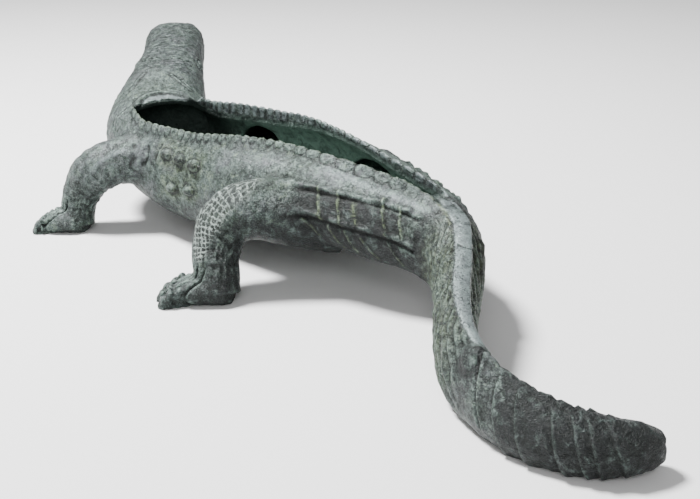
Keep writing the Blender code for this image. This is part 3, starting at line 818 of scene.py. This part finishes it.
    # limbs: folds inside the bends and up the shins
    for place in limbSkin.values():
        own = bell(place["gap"], 0.006) * smoothStep(0.003, 0.010, bodyGap) * (1 - inside)
        turn = np.radians(place["angle"]) * 0.028
        shin = smoothStep(3.4, 4.4, place["at"])
        ankle = 1 - 0.6 * smoothStep(4.9, 5.7, place["at"])
        bent = np.column_stack([place["at"] * 0.030, turn, np.zeros(len(at))])
        lengthwise = noise(bent * (0.30, 1, 1), 0.0055, 9)
        crosswise = noise(bent * (1, 0.6, 1), 0.0070, 10)
        height += own * (0.0018 * shin * lengthwise + 0.0015 * (1 - 0.5 * shin) * crosswise) * ankle

    # feet: toes fan out, with folds across each
    for hand, kind in limbSkin:
        foot = feet[kind]
        side = limbs["side"][hand]
        spread = math.radians(feet["spread"])
        heel, along, across = footWays(kind, hand)
        root = heel + along * (foot["sole"] * feet["root"] - feet["row"] / spread)
        flatTo = np.column_stack([points[:, 0] * side, points[:, 1]]) - root
        far = np.hypot(flatTo[:, 0], flatTo[:, 1])
        fan = np.arctan2(flatTo @ across, flatTo @ along) / spread
        toe = (fan + 0.5) * (foot["toes"] - 1)
        on = smoothStep(0.016, 0.030, far) * (far < 0.10) * (np.abs(fan) < 0.72)
        on *= smoothStep(0.046, 0.036, points[:, 2])
        valley = bell(0.5 - np.abs(toe - np.round(toe)), 0.13)
        fold = np.sin(2 * math.pi * (far + 0.0015 * np.sin(toe * 9)) / 0.0088)
        deep = 0.0034 + 0.0014 * smoothStep(0.045, 0.065, far)
        height += on * (0.0003 * fold * (1 - valley) - deep * valley)
        height += on * 0.0002 * noise(points, 0.0045, 11)
    # casting seams and marks on the inner walls
    height += inside * (0.0007 * noise(points, 0.018, 12) + 0.00025 * noise(points, 0.006, 13))
    for seam in (-0.133, -0.139):
        height += 0.0016 * inside * bell(points[:, 1] - seam - 0.04 * (points[:, 2] - 0.1), 0.0016)
    return height


print("melting the casting")
statue = castBlank()
mesh = statue.data
print("casting", len(mesh.polygons), "faces")

points = readPoints(mesh)
edges = readEdges(mesh)
skin = skinPlaces(points)
limbSkin = limbPlaces(points)
limbGap = np.min([place["gap"] for place in limbSkin.values()], axis=0)
junction = bell(skin["depth"], 0.010) * bell(limbGap, 0.010) * (skin["depth"] > -0.02)
points = spreadOut(points, edges, cast["melt"], 0.03 + 0.97 * junction * (points[:, 2] > 0.004))
writePoints(mesh, points)
print("carving the relief")
skin = skinPlaces(points)
limbSkin = limbPlaces(points)
points += readNormals(mesh) * relief(points, skin, limbSkin)[:, None]
points[:, 2] = np.maximum(points[:, 2], 0)
points = np.clip(points, np.array(cadBox[0]), np.array(cadBox[1]))
writePoints(mesh, points)

thin = statue.modifiers.new("thin", "DECIMATE")
thin.ratio = cast["triangles"] / (2 * len(mesh.polygons))
statue = evaluated(statue, "alligatorStatue")
mesh = statue.data
margin = np.array([0.0001, 0.0001, 0])
writePoints(mesh, np.clip(readPoints(mesh), np.array(cadBox[0]) + margin, np.array(cadBox[1]) - 0.0001))
mesh.shade_smooth()
print("statue", len(mesh.polygons), "faces")


def keepAttribute(mesh, name, columns):
    # numbers at the points that the material reads
    values = np.column_stack(columns).astype(np.float32)
    kept = mesh.attributes.new(name, "FLOAT_VECTOR", "POINT")
    kept.data.foreach_set("vector", values.ravel())


def strokePaint(points, skin):
    # how far points lie in carved grooves, and on raised lines; the grooves are painted shade, with painted
    # shadows below the knobs and at the step behind the skull
    grooves, crests = np.zeros(len(skin["at"])), np.zeros(len(skin["at"]))
    broken = 0.45 + 0.75 * smoothStep(-0.3, 0.5, noise(points, 0.009, 16))
    for name, group in strokes.items():
        for rise, width, path in group:
            if rise < 0:
                mark = bell(strokeGap(skin, path, name != "single"), width * 0.55)
                grooves = np.maximum(grooves, mark * broken * min(1, -rise / 0.0014))
    for path in earFolds:
        gap = strokeGap(skin, path, False)
        grooves = np.maximum(grooves, 0.8 * bell(gap - 0.0032, 0.0013))
        crests = np.maximum(crests, 0.8 * bell(gap, 0.0012))
    for name, group in knobs.items():
        for where, turn, radius, _ in group:
            # painted shadow: a dark arc set below and behind each knob
            low = strokeGap(skin, [(where + 0.06, turn + 5), (where + 0.12, turn + 5)], name == "flank")
            grooves = np.maximum(grooves, 0.55 * bell(low - radius * 0.9, 0.0022) * (low < radius * 1.4))
    # painted shadow lines at the step behind the skull
    around, front = skullArc(skin)
    grooves = np.maximum(grooves, front * 0.8 * bell(around - 1.05, 0.035))
    grooves = np.maximum(grooves, front * 0.6 * bell(around - 1.36, 0.05))
    # painted shade along the lower edges of the rim's plates and in the notches between scutes
    gap, rim = rimSpot(skin)
    outline = bell(plateEdge(skin, gap)[0], 0.0009) * smoothStep(14.9, 14.0, skin["at"])
    notches = bell(np.abs(scuteShare(skin["at"]) - 0.5) - 0.5, 0.09) * bell(gap - 0.001, 0.005)
    return np.maximum(grooves, rim * np.maximum(0.7 * outline, 0.8 * notches)), crests


def limbZone(points, limbSkin):
    # place along and around the limb that a point belongs to, in metres, and its knee net
    along, around, net = np.zeros((3, len(points)))
    closest = np.ones(len(points))
    for (_, kind), place in limbSkin.items():
        mine = place["gap"] < closest
        closest = np.where(mine, place["gap"], closest)
        turn = place["turn"]
        along = np.where(mine, place["at"] * 0.030, along)
        around = np.where(mine, np.radians(turn) * 0.028, around)
        if kind == "hind":
            zone = window(place["at"], 1.5, 2.3, 4.2, 5.2)
            middle = np.interp(place["at"], [1.6, 2.4, 3.0, 4.0, 5.0], [88, 84, 84, 92, 88])
            zone *= bell(turn - middle, np.interp(place["at"], [2, 3, 4, 5], [34, 40, 30, 20]))
        else:
            zone = 0.3 * window(place["at"], 1.9, 2.4, 3.2, 3.8)
            zone *= bell(turn - 5, 34)
        net = np.where(mine, zone * bell(place["gap"], 0.008), net)
    return along, around, net


points = readPoints(mesh)
normals = readNormals(mesh)
edges = readEdges(mesh)
skin = skinPlaces(points)
limbSkin = limbPlaces(points)
at, angle, turned = skin["at"], skin["angle"], np.abs(skin["angle"])
inside = innerShare(skin, limbSkin)
# curvature of the surface, for dark patina with painted shade in hollows and pale edge wear with painted
# highlight on ridges
near = ((spreadOut(points, edges, 3) - points) * normals).sum(1)
broad = ((spreadOut(points, edges, 24) - points) * normals).sum(1)
fine = near - broad * 0.22
gap, rim = rimSpot(skin)
around = skullArc(skin)[0]
floorOfLedge = (around < 1.04) * (at < 7.42) * smoothStep(0.3, 0.6, normals[:, 2]) * (points[:, 2] > 0.13)
sag = sagOf(at) * (angle < 0)
wallFace = (gap < -0.0012) * (at > opening["corner"][1]) * (at < 15.1)
wallFace = wallFace * (skin["back"] - sag < np.interp(at, [11, 13], [0.0064, 0.0048]))
wallFace = wallFace * (skin["back"] > -0.016)
inside = np.maximum(inside, wallFace * (around > 1.02)) * (1 - floorOfLedge)
band = stripShare(skin)
along, across, net = limbZone(points, limbSkin)

# pale patches with painted highlights, yellow-green deposits, and dark areas with painted shade, each from 0
# to 1
onTail = smoothStep(19.75, 20.1, at)
hipPlate = bell(angle - 32, 14) * window(at, 12.3, 12.9, 15.4, 16.2)
thighTop = bell(strokeGap(skin, [(10.9, 60), (11.4, 50), (12.2, 44)], False), 0.012)
# painted sheen highlight: a pale streak along the top of the upper arm
armSheenHighlight = np.zeros(len(points))
for (_, kind), place in limbSkin.items():
    if kind == "front":
        streak = window(place["at"], 1.2, 1.6, 2.6, 3.2)
        armSheenHighlight = np.maximum(armSheenHighlight, streak * bell(place["turn"] - 42, 14) * bell(place["gap"], 0.006))
neck = window(at, 6.2, 7.0, 8.3, 9.2) * bell(turned - 70, 45)
slant = at - 0.0035 * (turned - 60) - 0.03
# painted highlight along the edges of the tail rings
ringEdgeHighlight = np.max([bell(slant - where, 0.035) for where, _ in tailRings], axis=0)
# painted highlight on the tops of the far rim's lumps
farRopeHighlight = rim * (angle < 0) * smoothStep(0.5, 0.85, lobe(scuteShare(at), 0)) * bell(gap + 0.001, 0.005)
grooves, crests = strokePaint(points, skin)
keelGap, ribGap, lineGap = (np.min([strokeGap(skin, row[2], True) for row in strokes[name]], axis=0)
                            for name in ("keels", "ribs", "bellyLines"))
# painted highlight on the upward-facing tops of the feet
footTopHighlight = 0.5 * smoothStep(0.2, 0.8, normals[:, 2]) * smoothStep(0.042, 0.028, points[:, 2]) * (at < 14)
rootTop = bell(skin["offset"] - 0.010, 0.013) * window(at, 14.5, 15.1, 16.3, 17.0)
head = 0.60 * smoothStep(7, 5, at) * smoothStep(105, 85, turned)
# pale: real pale patches, with painted highlights on the keels' tops, the far rim's lumps, the tail rings'
# edges, the upper arm and the tops of the feet
pale = np.maximum.reduce([band, 0.8 * bell(keelGap, 0.0030), 0.35 * ringEdgeHighlight, farRopeHighlight, crests, 0.9 * hipPlate,
                          0.8 * thighTop, armSheenHighlight, 0.7 * neck, floorOfLedge, footTopHighlight, head, 0.85 * rootTop])
knobGap = np.min([strokeGap(skin, [(w, t), (w + 0.001, t)], True) for w, t, *_ in knobs["flank"]], axis=0)
green = np.maximum.reduce([0.42 * bell(knobGap - 0.013, 0.008), 0.9 * bell(ribGap, 0.0015),
                           0.5 * bell(lineGap, 0.0012), rim * bell(gap, 0.0016) * 0.7 * (angle > 0),
                           0.28 * window(at, 15.6, 16.3, 18.6, 19.6) * (1 - band)])
# painted shade: faces that point down are darkened
under = smoothStep(0.15, -0.75, normals[:, 2])
between = smoothStep(48, 56, turned) * window(at, 12.6, 13.0, 14.8, 15.5)
dark = np.maximum.reduce([1.05 * smoothStep(19.9, 21.0, at), 0.75 * under, 1.05 * between * (1 - onTail)])
dark = np.maximum(dark, 0.40 * bell(knobGap, 0.0120))
tailSide = (0.55 + 0.40 * bell(at - 15.9, 1.0)) * smoothStep(15.1, 15.6, at)
dark = np.maximum(dark, tailSide * (1 - band) * (1 - 0.8 * rootTop))
left, right = stripEdges(at)
border = np.minimum(np.abs(skin["offset"] - left - 0.0012), np.abs(skin["offset"] - right + 0.0012))
dark = np.maximum(dark, 0.9 * bell(border, 0.0014) * smoothStep(15.1, 15.5, at) * (at < 19.8) * (turned < 80))
for place in limbSkin.values():
    shin = window(place["at"], 2.8, 3.8, 5.5, 6) * bell(place["turn"] - 20, 50)
    dark = np.maximum(dark, 0.7 * shin * bell(place["gap"], 0.006))
dark = np.maximum(dark, 0.9 * smoothStep(82, 100, turned) * window(at, 11.5, 12.8, 16, 17.5))
# painted shade: the grooves darken the dark mask
dark = np.clip(dark + grooves, 0, 1.6)
# painted light on the inner walls: dark just under the rim and at the front of the hollow, lighter deeper
# down and further back
lit = smoothStep(0.002, -0.014, skin["back"]) * (0.10 + 0.90 * smoothStep(8.1, 9.2, at))
# painted shade: pale is taken off in the grooves; the inner walls take the painted light of lit
pale = np.where(inside > 0.5, lit, pale * (1 - 0.8 * grooves))
keepAttribute(mesh, "skinPlace", (skin["arc"], np.radians(angle) * skin["girth"], at))
keepAttribute(mesh, "limbPlace", (along, across, net))
keepAttribute(mesh, "patinaAndPaintedLight", (pale, green, dark))
keepAttribute(mesh, "curveShadeAndWear", (fine * 1000, broad * 1000, inside))
print("attributes kept")


def sums(operation, flipped=False):
    # what a wire does for one sign or one kind of sum
    def combined(self, other=0):
        values = (other, self) if flipped else (self, other)
        return self.kit.node("Math", {"operation": operation}, dict(enumerate(values)))
    return combined


class Wire:
    # a socket that can be written into sums
    def __init__(self, kit, socket):
        self.kit = kit
        self.socket = socket

    __add__ = __radd__ = sums("ADD")
    __sub__ = sums("SUBTRACT")
    __rsub__ = sums("SUBTRACT", True)
    __mul__ = __rmul__ = sums("MULTIPLY")
    __truediv__ = sums("DIVIDE")
    __rtruediv__ = sums("DIVIDE", True)
    fract = sums("FRACT")
    size = sums("ABSOLUTE")
    most = sums("MAXIMUM")
    least = sums("MINIMUM")


class Kit:
    # the nodes of one material
    def __init__(self, name):
        self.material = bpy.data.materials.new(name)
        self.material.use_nodes = True
        self.tree = self.material.node_tree
        self.shader = self.tree.nodes["Principled BSDF"]

    def node(self, kind, settings=None, values=None, out=0):
        made = self.tree.nodes.new("ShaderNode" + kind)
        for key, value in (settings or {}).items():
            setattr(made, key, value)
        for key, value in (values or {}).items():
            socket = made.inputs[key]
            if isinstance(value, Wire):
                self.tree.links.new(value.socket, socket)
            else:
                socket.default_value = value
        return Wire(self, made.outputs[out])

    def read(self, name):
        return self.node("Attribute", {"attribute_name": name}, out="Vector")

    def numbers(self, name):
        # the three numbers of an attribute
        return [self.node("SeparateXYZ", None, {0: self.read(name)}, out=k) for k in range(3)]

    def clouds(self, vector, scale, detail, rough, warp=0.0):
        return self.node("TexNoise", None, {"Vector": vector, "Scale": scale, "Detail": detail,
                                            "Roughness": rough, "Distortion": warp})

    def soft(self, value, low, high, start=0.0, end=1.0):
        return self.node("MapRange", {"interpolation_type": "SMOOTHSTEP"},
                         {"Value": value, "From Min": low, "From Max": high, "To Min": start, "To Max": end})

    def mix(self, share, one, two):
        # one colour over another
        one = (*one, 1) if isinstance(one, tuple) else one
        two = (*two, 1) if isinstance(two, tuple) else two
        return self.node("Mix", {"data_type": "RGBA"}, {0: share, 6: one, 7: two}, out=2)

    def coat(self, share, name):
        # the next layer of colour
        self.colour = self.mix(share, self.colour, finish[name])

    def stretch(self, vector, scale):
        return self.node("VectorMath", {"operation": "MULTIPLY"}, {0: vector, 1: scale})

    def feed(self, name, value):
        self.tree.links.new(value.socket, self.shader.inputs[name])


# clouds of colour as scale, detail, roughness and distortion, and the layers of the patina, painted shade and
# painted highlights among them
clouds = {
    "large": (22, 4, 0.6, 0),
    "patches": (75, 4, 0.62, 0.6),
    "blotches": (210, 4, 0.65, 0.4),
    "grain": (620, 3, 0.7, 0),
    "speck": (1150, 2, 0.6, 0),
    "veil": (34, 3, 0.5, 0.5),
}

finish = {
    "body": (0.032, 0.046, 0.041),
    "moss": (0.046, 0.068, 0.050),
    "pale": (0.122, 0.161, 0.150),
    "mauve": (0.105, 0.108, 0.122),
    "mint": (0.215, 0.298, 0.256),
    "chalkAndHighlight": (0.200, 0.244, 0.246),
    "lime": (0.185, 0.240, 0.120),
    "net": (0.42, 0.50, 0.46),
    # dark iron tone for dark patina and for painted shade
    "sootAndShade": (0.007, 0.009, 0.008),
    # the darkest colour: dark patina, and painted shade in hollows, recesses and grooves
    "ironAndShade": (0.013, 0.0145, 0.0155),
    "inner": (0.170, 0.245, 0.210),
    "innerShade": (0.012, 0.019, 0.017),
    "shine": 0.35,
}


def verdigris():
    kit = Kit("verdigrisCastMetal")
    place = kit.node("TexCoord", out="Object")
    skinPlace = kit.read("skinPlace")
    mark = kit.numbers("skinPlace")[2]
    limbAlong, limbAround, net = kit.numbers("limbPlace")
    pale, green, dark = kit.numbers("patinaAndPaintedLight")
    fine, broad, inside = kit.numbers("curveShadeAndWear")

    large, patches, blotches, grain, speck, veil = (kit.clouds(place, *row) for row in clouds.values())
    streaks = kit.clouds(kit.stretch(skinPlace, (420, 110, 0)), 1, 3, 0.6, 0.3)
    scratches = kit.clouds(kit.stretch(place, (260, 90, 420)), 1, 3, 0.6, 1.2)

    # heights of the fine carving in millimetres
    drift = (blotches - 0.5) * 0.008 + (large - 0.5) * 0.012
    netAlong = ((limbAlong + drift) / 0.0052).fract()
    netAcross = ((limbAround - drift * 1.3) / 0.0060 + limbAlong * 20).fract()
    lineAlong = 1 - kit.soft((netAlong - 0.5).size(), 0.06, 0.21)
    lineAcross = 1 - kit.soft((netAcross - 0.5).size(), 0.05, 0.18)
    netShare = kit.soft(net, 0.15, 0.6)
    netLines = lineAlong.most(lineAcross * 0.8) * netShare * kit.soft(blotches, 0.36, 0.50)
    snout = kit.soft(mark, 0.8, 1.6) * (1 - kit.soft(mark, 5.0, 6.0))
    wrinkles = kit.soft(streaks, 0.36, 0.60) * snout
    folds = kit.clouds(kit.stretch(place, (80, 80, 110)), 1, 3, 0.5, 1.6)
    creases = (1 - kit.soft((folds - 0.5).size(), 0.004, 0.018)) * kit.soft(large, 0.36, 0.52)
    height = (grain - 0.5) * 0.9 + (blotches - 0.5) * 2.0 + (speck - 0.5) * 0.2 + (scratches - 0.5) * 1.2
    height = height - creases * 0.9
    height = height * (1 - pale * 0.5) + netLines * 0.9 + wrinkles * 1.5
    bump = kit.node("Bump", None, {"Strength": 1.0, "Distance": 0.001, "Height": height})

    # layers from the metal outwards: toned base, verdigris, smooth pale crust with painted highlights, dark
    # areas with painted shade
    kit.colour = kit.mix(kit.soft(large, 0.38, 0.62), finish["body"], finish["moss"])
    kit.coat(kit.soft(patches, 0.44, 0.58) * 0.70, "pale")
    kit.coat(kit.soft(blotches, 0.50, 0.62) * 0.62, "pale")
    smooth = kit.mix(kit.soft(patches, 0.40, 0.62), finish["mauve"], finish["pale"])
    kit.colour = kit.mix((pale * 0.85 * kit.soft(blotches, 0.32, 0.50)).least(1), kit.colour, smooth)
    # chalky crust on the palest areas, which hold real pale patches and painted highlights
    kit.coat(kit.soft(pale, 0.78, 0.98) * 0.75, "chalkAndHighlight")
    kit.coat(kit.soft(veil, 0.52, 0.66) * 0.45, "mauve")
    # dark areas: dark patina, and painted shade on undersides and in grooves
    kit.coat((dark * kit.soft(patches, 0.76, 0.40) * 1.3).least(1), "ironAndShade")
    lime = (green * kit.soft(blotches, 0.38, 0.54)).least(1)
    kit.coat(lime * 0.72, "lime")
    crust = kit.soft(patches, 0.54, 0.66) * kit.soft(grain, 0.44, 0.60) * (1 - dark) * (1 - pale)
    kit.coat(crust * 0.62, "lime")
    # dark patina and painted shade in hollows and broad recesses, pale edge wear and painted highlight on
    # ridges
    hollow = kit.soft(fine + (blotches - 0.5) * 0.5, 0.06, 0.46)
    ridge = kit.soft(fine * -1 + (blotches - 0.5) * 0.5, 0.08, 0.55)
    deep = kit.soft(broad, -0.1, 1.6)
    cracks = kit.soft(scratches, 0.48, 0.41)
    kit.coat(hollow * 0.76, "sootAndShade")
    kit.coat(deep * 0.60, "sootAndShade")
    kit.coat(ridge * 0.60 * (1 - dark * 0.75), "mint")
    kit.coat(cracks * 0.45 * (1 - pale * 0.8), "sootAndShade")
    kit.coat(creases * 0.85, "sootAndShade")
    # painted shade: the darkest part of the dark mask, mostly grooves, goes darker still
    kit.coat(kit.soft(dark, 0.95, 1.5) * 0.8, "sootAndShade")
    pits = kit.soft(grain * 0.5 + blotches * 0.5, 0.50, 0.43)
    kit.coat(pits * 0.52 * (1 - pale * 0.55) * (1 - net * 0.5), "sootAndShade")
    flecks = kit.soft(speck * 0.4 + grain * 0.6, 0.52, 0.60)
    kit.coat(flecks * 0.34 * (1 - dark * 0.8).most(0), "mint")
    kit.coat(netShare * 0.64, "sootAndShade")
    kit.coat(netLines * 0.82, "net")
    kit.coat((1 - wrinkles) * snout * 0.55, "sootAndShade")
    inner = kit.mix(kit.soft(patches, 0.42, 0.70) * 0.7, finish["inner"], finish["innerShade"])
    # painted light: the inner walls go from the lit inner colour to the shaded one as lit falls off
    inner = kit.mix(1 - pale, inner, finish["innerShade"])
    kit.colour = kit.mix(inside * 0.95, kit.colour, inner)

    kit.feed("Base Color", kit.colour)
    kit.feed("Roughness", kit.soft(grain, 0.3, 0.7, 0.58, 0.38) - pale * 0.06)
    kit.feed("Metallic", kit.soft(blotches, 0.5, 0.7, 0.30, 0.05))
    kit.feed("Normal", bump)
    kit.shader.inputs["Specular IOR Level"].default_value = finish["shine"]
    return kit.material


mesh.materials.clear()
mesh.materials.append(verdigris())
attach(statue, "root")
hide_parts("alligator")

studio = {
    "camera": (0.8236, 0.8593, 0.4704),
    "heading": (-0.704, -0.71),
    "pitch": 20.9,
    "lens": 56.57,
    "floor": 9.0,
    "lamps": {"softBox": ((0.5, -0.95, 2.2), (0, 0, 0), 0.6, 215),  # place, target, size and power
              "fill": ((1.7, 1.5, 1.5), (0, 0, 0.1), 1.4, 18)},
    "sky": 0.36,
}


def aim(place, forward, up=(0, 0, 1)):
    # matrix of a camera or lamp that looks along forward
    forward = np.array(forward) / np.linalg.norm(forward)
    right = np.cross(forward, up)
    right /= np.linalg.norm(right)
    over = np.cross(right, forward)
    matrix = Matrix.Identity(4)
    for column, axis in enumerate((right, over, -forward, place)):
        for row in range(3):
            matrix[row][column] = axis[row]
    return matrix


def makeCamera():
    camera = bpy.data.cameras.new("photoView")
    camera.lens = studio["lens"]
    camera.sensor_width = 36
    camera.clip_end = 50
    made = newObject("photoView", camera)
    flat = np.array(studio["heading"]) / np.linalg.norm(studio["heading"])
    pitch = math.radians(studio["pitch"])
    made.matrix_world = aim(studio["camera"], (*(flat * math.cos(pitch)), -math.sin(pitch)))
    bpy.context.scene.camera = made


def makeFloor():
    mesh = bpy.data.meshes.new("studioFloor")
    size = studio["floor"]
    corners = [(-size, -size, 0), (size, -size, 0), (size, size, 0), (-size, size, 0)]
    mesh.from_pydata(corners, [], [(0, 1, 2, 3)])
    made = newObject("studioFloor", mesh)
    paint = bpy.data.materials.new("paleFloor")
    paint.use_nodes = True
    shader = paint.node_tree.nodes["Principled BSDF"]
    shader.inputs["Base Color"].default_value = (0.9, 0.9, 0.9, 1)
    shader.inputs["Roughness"].default_value = 0.9
    mesh.materials.append(paint)


def makeLamp(name, place, target, size, power):
    lamp = bpy.data.lights.new(name, "AREA")
    lamp.shape = "DISK"
    lamp.size = size
    lamp.energy = power
    made = newObject(name, lamp)
    made.matrix_world = aim(place, np.array(target) - np.array(place), (0, 1, 0.001))


makeCamera()
makeFloor()
for name, lamp in studio["lamps"].items():
    makeLamp(name, *lamp)
print("lamps and camera placed")
world = bpy.data.worlds.new("studio")
bpy.context.scene.world = world
world.use_nodes = True
world.node_tree.nodes["Background"].inputs["Color"].default_value = (1, 1, 1, 1)
world.node_tree.nodes["Background"].inputs["Strength"].default_value = studio["sky"]
